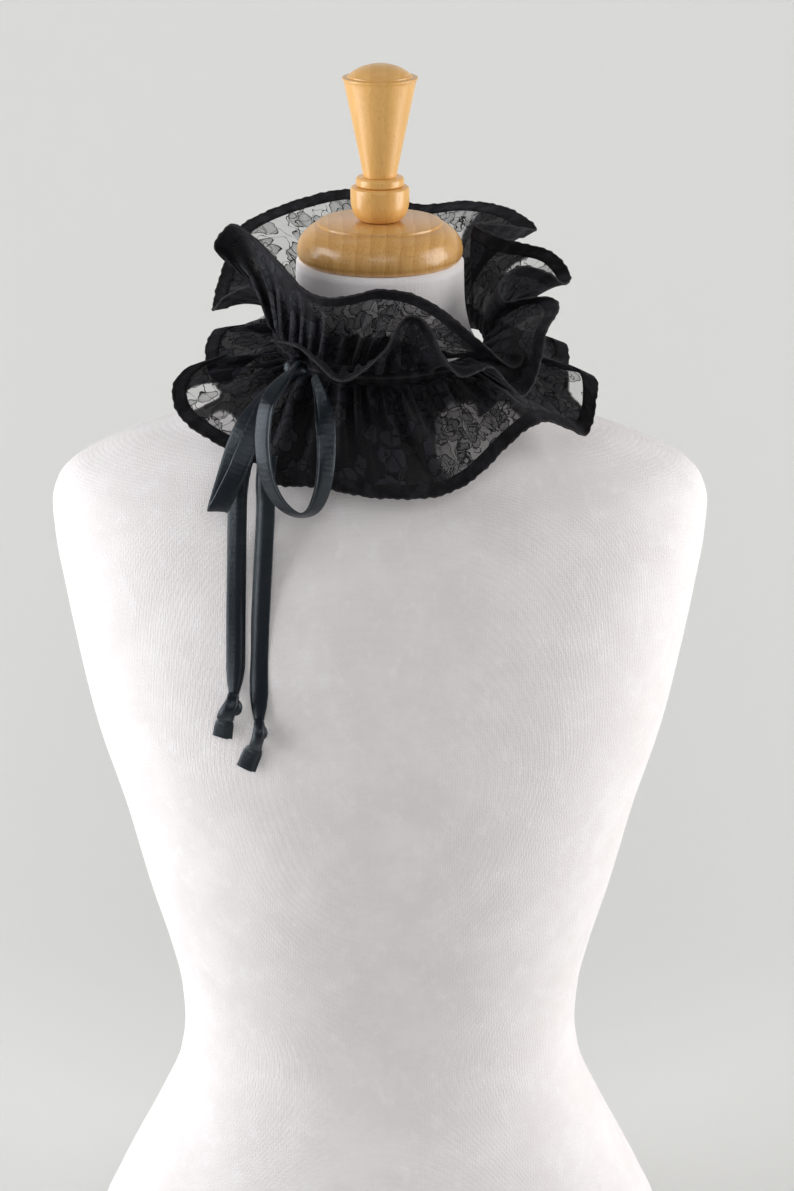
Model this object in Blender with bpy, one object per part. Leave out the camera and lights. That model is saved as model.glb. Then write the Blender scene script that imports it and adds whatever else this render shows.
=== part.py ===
"""Lace ruff collar with a drawstring bow, worn on a limbless jersey dress form.

Metres, +Z up. The form faces -Y and stands on z = 0. The collar is one long lace strip, hemmed
all round, gathered on a ribbon casing along its middle; its two ends overlap at the front.
"""
import math
import bpy
import numpy as np

MM = 0.001

# --- driving sizes, millimetres -------------------------------------------------------------
LACE_WALL = 1.0          # frill cloth wall
HEM_WIDTH = 8.5          # doubled hem band round the strip
HEM_WALL = 1.9
SEAM_GAP = 0.3
CASING_HEIGHT = 9.0
CASING_DEPTH = 4.6
CASING_Z = 675.0         # middle of the casing ring
CASING_TILT = 10.0       # front lower, back higher by this much
CASING_R_OUTER = 69.0    # ring radius at the overlapping outer end
CASING_R_INNER = 62.5    # ring radius at the inner end, under the overlap
TURN_START, TURN_END = -42.0, 377.0   # degrees round the neck, 0 = front, + towards +X
WIND_START, WIND_END = 50.0, 110.0     # turns between which the ring winds in to its inner radius
RIBBON_WIDTH = 11.4
RIBBON_WALL = 1.5
FRILL_COLUMNS = 150
FRILL_ROWS = 5

# --- torso sections: height, half width, front depth, back depth, squareness ------------------
TORSO = [
    ("underside",   0.0, 181.0, 110.0, 114.0, 2.30),
    ("base edge",   7.0, 186.0, 115.0, 119.0, 2.30),
    ("hips",       60.0, 188.0, 117.0, 123.0, 2.30),
    ("hips high",  86.0, 178.0, 113.0, 121.0, 2.28),
    ("belly low", 113.0, 165.0, 107.0, 114.0, 2.25),
    ("belly",     147.0, 148.0,  99.0, 103.0, 2.20),
    ("waist low", 185.0, 132.0,  91.0,  89.0, 2.20),
    ("waist",     215.0, 128.0,  88.0,  83.0, 2.20),
    ("waist top", 241.0, 129.5,  90.0,  82.0, 2.20),
    ("ribs low",  273.0, 136.0,  97.0,  84.0, 2.20),
    ("ribs",      316.0, 148.0, 108.0,  88.0, 2.20),
    ("bust low",  373.0, 162.0, 117.0,  94.0, 2.20),
    ("bust",      428.0, 178.0, 119.0,  99.0, 2.25),
    ("bust top",  476.0, 188.0, 114.0, 101.0, 2.30),
    ("chest",     522.0, 196.0, 107.0, 100.0, 2.30),
    ("arm front", 548.0, 200.0, 102.0,  96.0, 2.30),
    ("shoulder",  571.0, 201.5,  96.0,  89.0, 2.25),
    ("shoulder b", 584.0, 198.0,  92.0,  83.0, 2.20),
    ("shoulder c", 595.0, 188.0,  87.0,  78.0, 2.12),
    ("shoulder d", 604.0, 171.0,  83.0,  74.0, 2.06),
    ("slope low",  612.0, 152.0,  79.0,  71.5, 2.02),
    ("slope",     621.0, 125.0,  74.0,  69.0, 2.00),
    ("slope high", 633.0, 101.0,  67.0,  65.0, 2.00),
    ("neck root", 645.0,  82.0,  61.0,  61.0, 2.00),
    ("neck low",  655.0,  70.0,  57.5,  58.0, 2.00),
    ("neck",      667.0,  60.0,  55.0,  55.5, 2.00),
    ("neck mid",  680.0,  54.0,  53.0,  53.5, 2.00),
    ("neck high", 697.0,  51.0,  51.0,  51.0, 2.00),
    ("neck top",  719.5,  50.3,  50.3,  50.3, 2.00),
]

# --- turned wood: radius, height ---------------------------------------------------------------
CAP = [(46.8, 719.9), (48.6, 721.4), (49.6, 724.2), (49.7, 727.4), (48.9, 731.0), (47.0, 734.6),
       (44.2, 737.6), (40.6, 740.2), (38.0, 741.3), (37.2, 741.7), (37.0, 742.8), (36.4, 743.3)]
BULB = [(11.2, 743.6), (13.4, 744.8), (15.8, 748.2), (17.2, 752.4), (17.6, 757.0), (17.6, 762.4),
        (16.8, 764.0), (15.4, 764.4)]
STEP_RING = [(13.6, 764.7), (14.3, 765.4), (14.4, 768.6), (13.6, 769.8)]
HANDLE = [(9.9, 770.1), (10.2, 772.0), (12.4, 783.0), (15.7, 799.0), (19.0, 815.0), (21.4, 826.4),
          (22.3, 828.2), (22.1, 829.1), (19.0, 829.4), (18.9, 830.2), (17.9, 830.8), (15.6, 832.6),
          (11.0, 835.0), (5.0, 836.6)]

# --- hem folds: casing turn, then where the hem edge lies: turn, distance out, height ----------
UPPER_FOLDS = [
    ("outer end corner", -40, -31, 120, 697), ("end fall", -35, -23, 120, 695),
    ("front lobe in", -28, -17, 122, 687), ("front lobe", -21, -12, 124, 679),
    ("front lobe out", -14, -8, 123, 679), ("arch rise", -6, -3, 119, 686),
    ("arch side", 0, 2, 114, 695), ("arch", 4, 5, 109, 705),
    ("arch top", 8, 8, 106, 711), ("arch top out", 13, 12, 107, 711),
    ("arch fall", 17, 15, 114, 704), ("second lobe in", 20, 17, 121, 692),
    ("second lobe", 25, 21, 127, 680), ("small rise", 31, 26, 128, 682),
    ("small crest", 36, 30, 128, 683), ("deep lobe in", 40, 34, 130, 673),
    ("deep lobe", 44, 38, 132, 664), ("deep lobe out", 48, 42, 131, 668),
    ("side rise", 52, 46, 129, 681), ("side top", 56, 50, 126, 697),
    ("right tip G", 60, 57, 124, 706), ("tip return", 64, 61, 115, 710),
    ("fold in", 68, 59, 101, 709), ("deep fold", 71, 57, 88, 706),
    ("deep fold out", 74, 61, 80, 712), ("rise", 78, 68, 81, 718),
    ("right lobe", 82, 73, 89, 722), ("right lobe out", 86, 78, 102, 717),
    ("right tip F low", 91, 83, 111, 708), ("right tip F", 96, 90, 115, 710),
    ("tip F back", 100, 97, 108, 719), ("fold", 104, 103, 97, 723),
    ("fold deep", 109, 106, 78, 728), ("neck fold", 115, 108, 60, 737),
    ("neck fold out", 120, 112, 77, 735), ("rise E", 125, 115, 97, 730),
    ("right tip E", 129, 119, 111, 726), ("tip E back", 134, 125, 111, 731),
    ("back right", 142, 135, 107, 736), ("back right b", 153, 149, 105, 736),
    ("back dip", 166, 164, 102, 732), ("back", 178, 179, 102, 736),
    ("back left", 190, 192, 104, 741), ("back left b", 203, 208, 108, 736),
    ("back left c", 215, 221, 113, 729), ("left rear", 225, 231, 114, 722),
    ("left rear b", 233, 239, 111, 708), ("left fall", 240, 248, 109, 692),
    ("left tip B", 247, 256, 106, 682), ("tip B back", 253, 261, 97, 692),
    ("left fold in", 259, 266, 86, 700), ("left fold", 264, 272, 79, 705),
    ("left fold out", 268, 279, 84, 714), ("rise A", 273, 284, 94, 724),
    ("left tip A low", 278, 287, 102, 733), ("left tip A", 283, 288, 100, 741),
    ("left tip A top", 288, 292, 93, 749), ("tip A fall", 295, 302, 87, 744),
    ("front left", 304, 316, 83, 731), ("front left b", 314, 327, 82, 719),
    ("rim left", 324, 337, 82, 715), ("rim", 335, 348, 81, 717),
    ("rim middle", 346, 360, 80, 721), ("rim right", 355, 374, 84, 718),
    ("rim fall", 361, 384, 93, 709), ("inner slope", 365, 389, 101, 700),
    ("inner slope b", 368, 394, 109, 690), ("inner lobe in", 371, 398, 115, 681),
    ("inner lobe", 373, 401, 118, 677), ("inner lobe out", 375, 404, 118, 678),
    ("inner end corner", 376, 406, 116, 682),
]
LOWER_FOLDS = [
    ("outer end corner", -40, -38, 115, 609), ("front left", -34, -29, 112, 608),
    ("front left b", -26, -20, 110, 609), ("front", -17, -11, 109, 607),
    ("front b", -7, -2, 108, 604), ("front c", 3, 8, 108, 603),
    ("front right", 13, 18, 110, 604), ("front right b", 22, 26, 112, 609),
    ("side lift", 30, 32, 115, 618), ("side lift b", 37, 38, 119, 630),
    ("shoulder", 44, 45, 123, 640), ("shoulder b", 50, 52, 125, 641),
    ("right tip fall", 55, 58, 132, 634), ("right tip low", 60, 63, 138, 629),
    ("right tip", 66, 67, 139, 646), ("right tip top", 71, 72, 135, 657),
    ("fold in", 77, 75, 119, 659), ("fold", 83, 78, 106, 658),
    ("tip H low", 90, 84, 114, 657), ("tip H", 97, 92, 113, 666),
    ("fold back", 105, 101, 102, 664), ("back right", 118, 116, 104, 660),
    ("back wave a", 132, 134, 113, 653), ("back wave b", 148, 150, 103, 655),
    ("back wave c", 164, 165, 114, 650), ("back wave d", 180, 180, 103, 654),
    ("back wave e", 196, 195, 114, 650), ("back wave f", 213, 212, 103, 655),
    ("back wave g", 230, 229, 113, 656), ("back left", 246, 245, 103, 664),
    ("left fold", 258, 257, 94, 672), ("tip C top", 265, 266, 102, 673),
    ("tip C", 271, 273, 106, 664), ("tip C low", 276, 280, 104, 653),
    ("fold C", 280, 285, 97, 649), ("fold in C", 284, 289, 93, 656),
    ("rise D", 288, 291, 104, 665), ("tip D top", 293, 293, 122, 666),
    ("tip D", 299, 295, 134, 659), ("tip D out", 304, 298, 138, 650),
    ("tip D low", 310, 302, 136, 640), ("fall D", 316, 308, 128, 631),
    ("front under", 322, 314, 118, 623), ("front under b", 328, 319, 108, 616),
    ("under overlap", 336, 327, 99, 611), ("under overlap b", 347, 338, 96, 609),
    ("under overlap c", 358, 349, 96, 608), ("under overlap d", 367, 358, 96, 607),
    ("inner end corner", 376, 366, 97, 606),
]

# --- ribbon paths: x, y, z, then the flat face's turn from facing forward and its tip up, degrees ----
LEFT_LOOP = [(-54, -75, 669, -20, 0), (-63, -87, 660, -22, 0), (-70, -97, 648, -20, 0),
             (-76, -104, 635, -14, 0), (-82, -109, 621, -10, 0), (-88, -111, 609, -8, 0),
             (-92.5, -111, 600, -8, -12), (-94.5, -108.5, 596.8, -10, -85), (-94, -105.5, 599, -12, -160),
             (-91.5, -103, 607, -14, -180), (-87.5, -100.5, 620, -18, -180), (-83.5, -97.5, 633, -26, -180),
             (-78, -92, 645, -34, -180), (-69, -83, 656, -40, -180), (-60, -75, 663, -36, -180)]
RIGHT_LOOP = [(-47, -76, 677, -30, 0), (-54, -90, 672, -34, 0), (-64, -103, 661, -36, 0),
              (-67, -110, 647, -36, 0), (-67, -113, 633, -36, -5), (-65, -114, 619, -36, -12),
              (-60, -115, 607, -34, -28), (-53, -115, 599, -24, -48), (-45, -115, 596, -2, -60),
              (-38, -115, 600, 18, -46), (-33, -114, 612, 26, -22), (-31, -112, 627, 22, -8),
              (-31, -106, 643, 12, 0), (-33, -96, 657, -4, 0), (-38, -80, 670, -24, 0)]
LEFT_TAIL = [(-75, -90, 638, -20, 0), (-80, -93, 622, -18, 0), (-83, -96, 606, -16, 0),
             (-84, -97, 588, -16, 0), (-84.5, -98, 566, -12, 0), (-85, -100, 540, -8, 0),
             (-85.5, -103.5, 516, -10, 0), (-86, -106, 499, -14, 0), (-87, -109.5, 482.5, -18, 0)]
RIGHT_TAIL = [(-65, -101, 628, -8, 0), (-67, -101, 612, -10, 0), (-67, -101, 596, -12, 0),
              (-68, -101, 577, -12, 0), (-69.5, -102, 552, -12, 0), (-71, -104, 526, -12, 0),
              (-72, -107, 500, -10, 0), (-72, -110, 483, -8, 0), (-72, -113.5, 467.5, -8, 0)]
LEFT_END = [(-91, -112, 467.4, 4, 0), (-92.5, -112, 462, 6, 0), (-93.5, -111.5, 455, 8, 0)]
RIGHT_END = [(-73.5, -115.5, 450.2, 6, 0), (-76.5, -115, 444, 8, 0), (-79.5, -115, 436, 10, 0)]
KNOTS = {  # centre x, y, z, half sizes x, y, z
    "bow_knot": ((-49.5, -66.0, 671.0), (7.0, 5.0, 5.6)),
    "tail_knot_left": ((-88.5, -111.5, 475.0), (6.6, 4.8, 6.4)),
    "tail_knot_right": ((-72.0, -115.8, 459.0), (6.4, 4.8, 7.6)),
}

COLOURS = {  # linear base colour, roughness
    "jersey": ((0.80, 0.79, 0.81, 1), 0.9), "wood": ((0.62, 0.33, 0.12, 1), 0.35),
    "lace": ((0.020, 0.020, 0.024, 1), 0.85), "hem": ((0.014, 0.014, 0.017, 1), 0.8),
    "satin": ((0.022, 0.024, 0.032, 1), 0.35),
}


def material(name, kind):
    mat = bpy.data.materials.new(name)
    mat.use_nodes = True
    shader = mat.node_tree.nodes["Principled BSDF"]
    colour, rough = COLOURS[kind]
    shader.inputs["Base Color"].default_value = colour
    shader.inputs["Roughness"].default_value = rough
    mat.diffuse_color = colour
    return mat


def add_object(name, kind, verts, faces, smooth=True):
    mesh = bpy.data.meshes.new(name)
    mesh.from_pydata([tuple(c * MM for c in v) for v in verts], [], faces)
    mesh.update()
    for poly in mesh.polygons:
        poly.use_smooth = smooth
    mesh.materials.append(material(name, kind))
    obj = bpy.data.objects.new(name, mesh)
    bpy.context.scene.collection.objects.link(obj)
    return obj


def turned(name, kind, profile, segments):
    """A closed turned solid from (radius, height) rows, with flat ends."""
    verts, faces = [], []
    for radius, height in profile:
        for k in range(segments):
            a = 2 * math.pi * k / segments
            verts.append((radius * math.cos(a), radius * math.sin(a), height))
    rows = len(profile)
    for i in range(rows - 1):
        for k in range(segments):
            n = (k + 1) % segments
            faces.append((i * segments + k, i * segments + n, (i + 1) * segments + n, (i + 1) * segments + k))
    faces.append(tuple(range(segments - 1, -1, -1)))
    faces.append(tuple((rows - 1) * segments + k for k in range(segments)))
    return add_object(name, kind, verts, faces)


def torso_body(segments=48):
    """Loft of rounded sections; the two halves of each section have their own depth."""
    verts, faces = [], []
    for _, height, half, front, back, power in TORSO:
        for k in range(segments):
            a = 2 * math.pi * k / segments
            c, s = math.cos(a), math.sin(a)
            depth = back if s > 0 else front
            x = half * math.copysign(abs(c) ** (2 / power), c)
            y = depth * math.copysign(abs(s) ** (2 / power), s)
            verts.append((x, y, height))
    rows = len(TORSO)
    for i in range(rows - 1):
        for k in range(segments):
            n = (k + 1) % segments
            faces.append((i * segments + k, i * segments + n, (i + 1) * segments + n, (i + 1) * segments + k))
    faces.append(tuple(range(segments - 1, -1, -1)))
    faces.append(tuple((rows - 1) * segments + k for k in range(segments)))
    return add_object("torso", "jersey", verts, faces)


def smooth_curve(points, count):
    """Evenly spaced stations on a centripetal spline through the rows of points."""
    p = np.asarray(points, float)
    p = np.vstack([2 * p[0] - p[1], p, 2 * p[-1] - p[-2]])
    out = []
    for i in range(1, len(p) - 2):
        p0, p1, p2, p3 = p[i - 1:i + 3]
        m1 = (p2 - p0) * 0.5
        m2 = (p3 - p1) * 0.5
        for t in np.linspace(0, 1, 12, endpoint=False):
            a = 2 * t**3 - 3 * t**2 + 1
            b = t**3 - 2 * t**2 + t
            c = -2 * t**3 + 3 * t**2
            d = t**3 - t**2
            out.append(a * p1 + b * m1 + c * p2 + d * m2)
    out.append(p[-2])
    out = np.array(out)
    step = np.linalg.norm(np.diff(out[:, :3], axis=0), axis=1)
    run = np.concatenate([[0], np.cumsum(step)])
    want = np.linspace(0, run[-1], count)
    return np.column_stack([np.interp(want, run, out[:, k]) for k in range(out.shape[1])])


def casing_point(turn, lift=0.0):
    """Middle of the casing at a turn round the neck; the ring winds slightly inwards."""
    ease = np.clip((turn - WIND_START) / (WIND_END - WIND_START), 0, 1)
    ease = ease * ease * (3 - 2 * ease)
    radius = CASING_R_OUTER + (CASING_R_INNER - CASING_R_OUTER) * ease
    a = math.radians(turn)
    return np.array([radius * math.sin(a), -radius * math.cos(a),
                     CASING_Z - CASING_TILT * math.cos(a) + lift])


def frill_grid(folds, side, columns, arcs):
    """Middle surface of one frill. side +1 rises from the casing, -1 falls from it."""
    rows = []
    for _, turn, around, out, up in folds:
        a = math.radians(around)
        rows.append((out * math.sin(a), -out * math.cos(a), up, turn))
    hem = smooth_curve(rows, columns)
    grid = np.zeros((columns, len(arcs), 3))
    heading = np.gradient(hem[:, :3], axis=0)
    heading /= np.linalg.norm(heading, axis=1)[:, None]
    paths, skews = [], []
    for i, (hx, hy, hz, turn) in enumerate(hem):
        start = casing_point(turn, side * (CASING_HEIGHT / 2 + SEAM_GAP))
        end = np.array([hx, hy, hz])
        along = end - start
        reach = np.linalg.norm(along)
        along /= reach
        a = math.radians(turn)
        outward = np.array([math.sin(a), -math.cos(a), 0.0])
        up = np.array([0, 0, 1.0])
        under = float(np.clip((turn - 318.0) / 14.0, 0, 1))   # 1 where the end lies under the overlap
        over = float(np.clip((70.0 - turn) / 15.0, 0, 1))     # 1 where the end lies over it
        if side > 0:
            lead, trail = along + (0.55 - 0.40 * over) * up, along + 0.25 * outward - 0.25 * up
        else:
            lead, trail = along + (0.75 - 0.80 * under) * outward, along - 0.35 * up
        lead /= np.linalg.norm(lead)
        start = start + np.array([0, 0, side * LACE_WALL / 2 * (1 - abs(lead[2]))])
        trail /= np.linalg.norm(trail)
        c1, c2 = start + lead * reach * 0.36, end - trail * reach * 0.33
        t = np.linspace(0, 1, 41)[:, None]
        skews.append(np.linalg.norm(np.cross(trail, heading[i])))
        path = (1 - t)**3 * start + 3 * (1 - t)**2 * t * c1 + 3 * (1 - t) * t**2 * c2 + t**3 * end
        paths.append(path)
    skews = np.convolve(np.pad(np.clip(skews, 0.38, 1), 2, mode="edge"), np.ones(5) / 5, mode="valid")
    for i, path in enumerate(paths):
        run = np.concatenate([[0], np.cumsum(np.linalg.norm(np.diff(path, axis=0), axis=1))])
        for j, (share, band, gap) in enumerate(arcs):
            want = share * (run[-1] - band / skews[i] - gap / skews[i]**2)
            grid[i, j] = [np.interp(want, run, path[:, k]) for k in range(3)]
    return grid


def sheet_solid(name, kind, grid, wall):
    """A closed wall around a grid of points."""
    across = np.gradient(grid, axis=1)
    along = np.gradient(grid, axis=0)
    normal = np.cross(along, across)
    normal /= np.linalg.norm(normal, axis=2)[:, :, None] + 1e-9
    n, m, _ = grid.shape
    front = grid + normal * wall / 2
    back = grid - normal * wall / 2
    verts = [tuple(v) for v in front.reshape(-1, 3)] + [tuple(v) for v in back.reshape(-1, 3)]

    def top(i, j):
        return i * m + j

    def under(i, j):
        return n * m + i * m + j

    faces = []
    for i in range(n - 1):
        for j in range(m - 1):
            faces.append((top(i, j), top(i + 1, j), top(i + 1, j + 1), top(i, j + 1)))
            faces.append((under(i, j), under(i, j + 1), under(i + 1, j + 1), under(i + 1, j)))
    for i in range(n - 1):
        faces.append((top(i, 0), under(i, 0), under(i + 1, 0), top(i + 1, 0)))
        faces.append((top(i, m - 1), top(i + 1, m - 1), under(i + 1, m - 1), under(i, m - 1)))
    for j in range(m - 1):
        faces.append((top(0, j), top(0, j + 1), under(0, j + 1), under(0, j)))
        faces.append((top(n - 1, j), under(n - 1, j), under(n - 1, j + 1), top(n - 1, j + 1)))
    return add_object(name, kind, verts, faces)


def casing_band(stations=88):
    """The gathered ribbon casing: an open, slightly spiral band of rounded section."""
    section = [(-0.5, -0.25), (0.0, -0.5), (0.5, -0.25), (0.5, 0.25), (0.0, 0.5), (-0.5, 0.25)]
    verts, faces = [], []
    turns = np.linspace(TURN_START, TURN_END, stations)
    for turn in turns:
        a = math.radians(turn)
        outward = np.array([math.sin(a), -math.cos(a), 0.0])
        mid = casing_point(turn)
        for r, h in section:
            verts.append(tuple(mid + outward * r * CASING_DEPTH + np.array([0, 0, h * CASING_HEIGHT])))
    k = len(section)
    for i in range(stations - 1):
        for j in range(k):
            n = (j + 1) % k
            faces.append((i * k + j, (i + 1) * k + j, (i + 1) * k + n, i * k + n))
    faces.append(tuple(range(k)))
    faces.append(tuple((stations - 1) * k + j for j in range(k - 1, -1, -1)))
    return add_object("casing", "hem", verts, faces)


def ribbon(name, path, stations, width=RIBBON_WIDTH, wall=RIBBON_WALL):
    """A flat satin ribbon swept along a path, its face turned and tipped as each row says."""
    line = smooth_curve(path, stations)
    centre, face, tip = line[:, :3], np.radians(line[:, 3]), np.radians(line[:, 4])
    tangent = np.gradient(centre, axis=0)
    tangent /= np.linalg.norm(tangent, axis=1)[:, None]
    section = [(-0.5, -0.5), (0.5, -0.5), (0.5, 0.5), (-0.5, 0.5)]
    verts, faces = [], []
    normals = np.column_stack([np.sin(face) * np.cos(tip), -np.cos(face) * np.cos(tip), np.sin(tip)])
    for c, t, normal in zip(centre, tangent, normals):
        side = np.cross(t, normal)
        side /= np.linalg.norm(side)
        normal = np.cross(side, t)
        for w, h in section:
            verts.append(tuple(c + side * w * width + normal * h * wall))
    k = 4
    for i in range(stations - 1):
        for j in range(k):
            n = (j + 1) % k
            faces.append((i * k + j, (i + 1) * k + j, (i + 1) * k + n, i * k + n))
    faces.append(tuple(range(k)))
    faces.append(tuple((stations - 1) * k + j for j in range(k - 1, -1, -1)))
    return add_object(name, "satin", verts, faces)


def knot(name, centre, half):
    """A small pulled-tight lump of ribbon: a rounded pillow."""
    verts, faces = [], []
    rings, segs = 7, 12
    for i in range(rings):
        lat = math.pi * (i + 0.5) / rings - math.pi / 2
        for k in range(segs):
            lon = 2 * math.pi * k / segs
            c, s, z = math.cos(lon), math.sin(lon), math.sin(lat)
            p = math.cos(lat) ** 0.7
            verts.append((centre[0] + half[0] * p * c, centre[1] + half[1] * p * s,
                          centre[2] + half[2] * math.copysign(abs(z) ** 0.8, z)))
    for i in range(rings - 1):
        for k in range(segs):
            n = (k + 1) % segs
            faces.append((i * segs + k, i * segs + n, (i + 1) * segs + n, (i + 1) * segs + k))
    faces.append(tuple(range(segs - 1, -1, -1)))
    faces.append(tuple((rings - 1) * segs + k for k in range(segs)))
    return add_object(name, "satin", verts, faces)


def build():
    for obj in list(bpy.data.objects):
        bpy.data.objects.remove(obj, do_unlink=True)
    torso_body()
    turned("neck_cap", "wood", CAP, 48)
    turned("finial_bulb", "wood", BULB, 32)
    turned("finial_ring", "wood", STEP_RING, 32)
    turned("finial_handle", "wood", HANDLE, 32)
    casing_band()
    cloth = [(k / (FRILL_ROWS - 1), HEM_WIDTH, 3.0 * SEAM_GAP) for k in range(FRILL_ROWS)]
    band = [(1.0, HEM_WIDTH, 0.0), (1.0, 0.0, 0.0)]
    for label, folds, side in (("upper", UPPER_FOLDS, 1), ("lower", LOWER_FOLDS, -1)):
        sheet_solid("frill_" + label, "lace", frill_grid(folds, side, FRILL_COLUMNS, cloth), LACE_WALL)
        sheet_solid("hem_" + label, "hem", frill_grid(folds, side, FRILL_COLUMNS, band), HEM_WALL)
    ribbon("loop_left", LEFT_LOOP, 30)
    ribbon("loop_right", RIGHT_LOOP, 34)
    ribbon("tail_left", LEFT_TAIL, 16)
    ribbon("tail_right", RIGHT_TAIL, 18)
    ribbon("tail_end_left", LEFT_END, 5, RIBBON_WIDTH * 0.9)
    ribbon("tail_end_right", RIGHT_END, 5, RIBBON_WIDTH * 0.9)
    for name, (centre, half) in KNOTS.items():
        knot(name, centre, half)


build()
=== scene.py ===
# %% [markdown]
# # A black lace ruff collar on a dress form
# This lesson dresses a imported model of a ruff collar. The collar is one strip of lace, hemmed all
# round and gathered on a satin ribbon, tied round the neck of a small jersey dress form with a
# turned wooden cap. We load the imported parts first, because every piece below is placed by them.

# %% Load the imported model
import math

import bpy
import numpy as np
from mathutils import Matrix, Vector


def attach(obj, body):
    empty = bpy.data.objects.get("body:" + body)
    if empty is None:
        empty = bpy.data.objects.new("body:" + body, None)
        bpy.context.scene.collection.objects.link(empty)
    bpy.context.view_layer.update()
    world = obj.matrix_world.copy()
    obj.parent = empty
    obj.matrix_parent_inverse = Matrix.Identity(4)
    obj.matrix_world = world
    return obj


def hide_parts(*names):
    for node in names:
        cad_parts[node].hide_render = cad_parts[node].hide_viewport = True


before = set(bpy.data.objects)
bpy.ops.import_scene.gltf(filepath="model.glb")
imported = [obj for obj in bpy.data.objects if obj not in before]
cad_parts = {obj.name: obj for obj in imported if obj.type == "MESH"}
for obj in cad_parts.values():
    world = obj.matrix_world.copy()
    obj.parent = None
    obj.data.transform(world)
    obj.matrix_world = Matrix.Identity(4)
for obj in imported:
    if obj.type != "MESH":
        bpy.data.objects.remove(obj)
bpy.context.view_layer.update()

# %% [markdown]
# ## Camera, room and lights
# A product picture of pale cloth and black lace wants broad, soft light from both sides, so that
# the form turns gently from light to shade and the satin gets long reflections. The camera looks
# slightly down on the collar through a long lens, which keeps the form's sides nearly straight.
# The backdrop is clear from behind, so a camera can look at the back of the form through it, and
# past its edges the camera sees a plain pale colour instead of the dim world that lights the cloth.

# %% Camera
CAMERA_DISTANCE = 1.70
CAMERA_HEIGHT = 1.119
CAMERA_PITCH = 19.85      # degrees below the horizon

camera_data = bpy.data.cameras.new("camera")
camera_data.lens = 87.36
camera_data.shift_x = 0.0143
camera = bpy.data.objects.new("camera", camera_data)
camera.location = (0, -CAMERA_DISTANCE, CAMERA_HEIGHT)
camera.rotation_euler = (math.radians(90 - CAMERA_PITCH), 0, 0)
bpy.context.scene.collection.objects.link(camera)
bpy.context.scene.camera = camera
bpy.context.scene.view_settings.view_transform = "Standard"
print("camera lens", camera_data.lens, "mm")

# %% Floor and wall: one sheet that curves up behind the form, so no line shows between them
def backdrop(half_width=4.0, near=-4.0, far=1.6, radius=1.1, height=3.4, steps=24):
    turns = [math.radians(90) * k / steps for k in range(steps + 1)]
    bend = [(far - radius + radius * math.sin(a), radius - radius * math.cos(a)) for a in turns]
    line = [(near, 0.0), *bend, (far, height)]
    verts = [(side * half_width, y, z) for side in (-1, 1) for y, z in line]
    count = len(line)
    mesh = bpy.data.meshes.new("backdrop")
    mesh.from_pydata(verts, [], [(i, count + i, count + i + 1, i + 1) for i in range(count - 1)])
    mesh.polygons.foreach_set("use_smooth", [True] * len(mesh.polygons))
    mat = bpy.data.materials.new("backdrop")
    mat.use_nodes = True
    shader = mat.node_tree.nodes["Principled BSDF"]
    shader.inputs["Base Color"].default_value = (0.70, 0.70, 0.685, 1)
    shader.inputs["Roughness"].default_value = 0.95
    shader.inputs["Specular IOR Level"].default_value = 0.1
    tree = mat.node_tree
    clear, pick, side = [tree.nodes.new("ShaderNode" + kind)
                         for kind in ("BsdfTransparent", "MixShader", "NewGeometry")]
    tree.links.new(side.outputs["Backfacing"], pick.inputs[0])
    tree.links.new(shader.outputs[0], pick.inputs[1])
    tree.links.new(clear.outputs[0], pick.inputs[2])
    tree.links.new(pick.outputs[0], tree.nodes["Material Output"].inputs["Surface"])
    mesh.materials.append(mat)
    obj = bpy.data.objects.new("backdrop", mesh)
    bpy.context.scene.collection.objects.link(obj)


backdrop()
print("room ready")

# %% Lights
def soft_light(name, place, target, size, watts, colour=(1, 1, 1)):
    data = bpy.data.lights.new(name, "AREA")
    data.shape = "RECTANGLE"
    data.size, data.size_y = size
    data.energy = watts
    data.color = colour
    lamp = bpy.data.objects.new(name, data)
    lamp.location = place
    lamp.rotation_euler = (Vector(target) - Vector(place)).to_track_quat("-Z", "Y").to_euler()
    bpy.context.scene.collection.objects.link(lamp)


soft_light("window_left", (-1.55, -0.20, 0.82), (0, 0, 0.55), (1.1, 1.7), 32.5, (0.98, 0.99, 1.0))
soft_light("window_right", (1.65, -0.15, 0.82), (0, 0, 0.55), (1.1, 1.7), 29.5, (1.0, 0.995, 0.98))
soft_light("front_fill", (0.1, -2.4, 1.9), (0, 0, 0.6), (1.6, 1.2), 13)
soft_light("wall_wash", (0, 0.55, 2.5), (0, 1.6, 1.0), (2.6, 0.5), 5)

# %% World
world = bpy.data.worlds.new("room light")
world.use_nodes = True
tree = world.node_tree
glow = tree.nodes["Background"]
glow.inputs["Color"].default_value = (0.93, 0.93, 0.95, 1)
glow.inputs["Strength"].default_value = 0.18
pale, path, pick = [tree.nodes.new("ShaderNode" + kind) for kind in ("Background", "LightPath", "MixShader")]
pale.inputs["Color"].default_value = (0.72, 0.72, 0.70, 1)
tree.links.new(path.outputs["Is Camera Ray"], pick.inputs[0])
tree.links.new(glow.outputs[0], pick.inputs[1])
tree.links.new(pale.outputs[0], pick.inputs[2])
tree.links.new(pick.outputs[0], tree.nodes["World Output"].inputs["Surface"])
bpy.context.scene.world = world

# %% [markdown]
# ## Helpers for meshes and shader nodes
# Sewn and turned goods are mostly swept or lofted surfaces, so one helper turns points and faces
# into a mesh with a UV map in metres of flat cloth. Two more list the faces of an open grid and of a
# closed tube. A last set writes shader maths as short lines.

# %% Mesh helpers
MM = 0.001


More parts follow.
